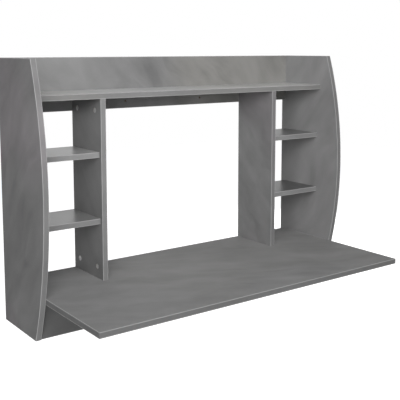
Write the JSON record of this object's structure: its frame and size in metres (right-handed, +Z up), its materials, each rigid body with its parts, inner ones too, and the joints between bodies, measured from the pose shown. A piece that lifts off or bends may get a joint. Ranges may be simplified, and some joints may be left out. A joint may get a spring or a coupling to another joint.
{
  "type": "wall desk",
  "caption": "Wall-hung writing desk of board, with bowed side panels, a deep desktop, open side bays with small shelves and a long top shelf under a wall rail.",
  "frame": {"origin": "centre of the row of four wall screw holes in the upper wall rail, on the wall plane (the back of the rails and side panels)", "axes": "+X to the right along the wall, seen from the room; +Y into the wall, square to the back of the rails; +Z up"},
  "size_m": [1.1, 0.542, 0.765],
  "materials": {
    "board": "matt melamine with a soft grey slate look on both faces",
    "edge_band": "matt plastic edge band in the same grey slate look",
    "cam_zinc": "dull bare zinc",
    "plated_steel": "zinc-plated steel",
    "dowel_beech": "plain beech"
  },
  "bodies": {
    "root": {"side_panel_left": "board", "side_panel_right": "board", "upper_wall_rail": "board", "lower_wall_rail": "board", "top_shelf": "board", "desktop": "board", "front_apron": "board", "divider_left": "board", "divider_right": "board", "shelf_left_lower": "board", "shelf_left_upper": "board", "shelf_right_lower": "board", "shelf_right_upper": "board", "edge_bands_side_panel_left": "edge_band", "edge_bands_side_panel_right": "edge_band", "edge_bands_upper_wall_rail": "edge_band", "edge_bands_lower_wall_rail": "edge_band", "edge_bands_top_shelf": "edge_band", "edge_bands_desktop": "edge_band", "edge_bands_front_apron": "edge_band", "edge_bands_divider_left": "edge_band", "edge_bands_divider_right": "edge_band", "edge_bands_shelf_left_lower": "edge_band", "edge_bands_shelf_left_upper": "edge_band", "edge_bands_shelf_right_lower": "edge_band", "edge_bands_shelf_right_upper": "edge_band", "cam_locks_top_shelf": "cam_zinc", "cam_locks_desktop": "cam_zinc", "cam_locks_wall_rails": "cam_zinc", "cam_locks_apron": "cam_zinc", "cam_locks_dividers": "cam_zinc", "cam_locks_small_shelves": "cam_zinc", "cam_bolts_top_shelf": "plated_steel", "cam_bolts_desktop": "plated_steel", "cam_bolts_wall_rails": "plated_steel", "cam_bolts_apron": "plated_steel", "cam_bolts_dividers": "plated_steel", "cam_bolts_small_shelves": "plated_steel", "rail_screws": "plated_steel", "bracket_screws": "plated_steel", "angle_brackets": "plated_steel", "dowels_top_shelf": "dowel_beech", "dowels_desktop": "dowel_beech", "dowels_dividers": "dowel_beech"}
  },
  "joints": []
}
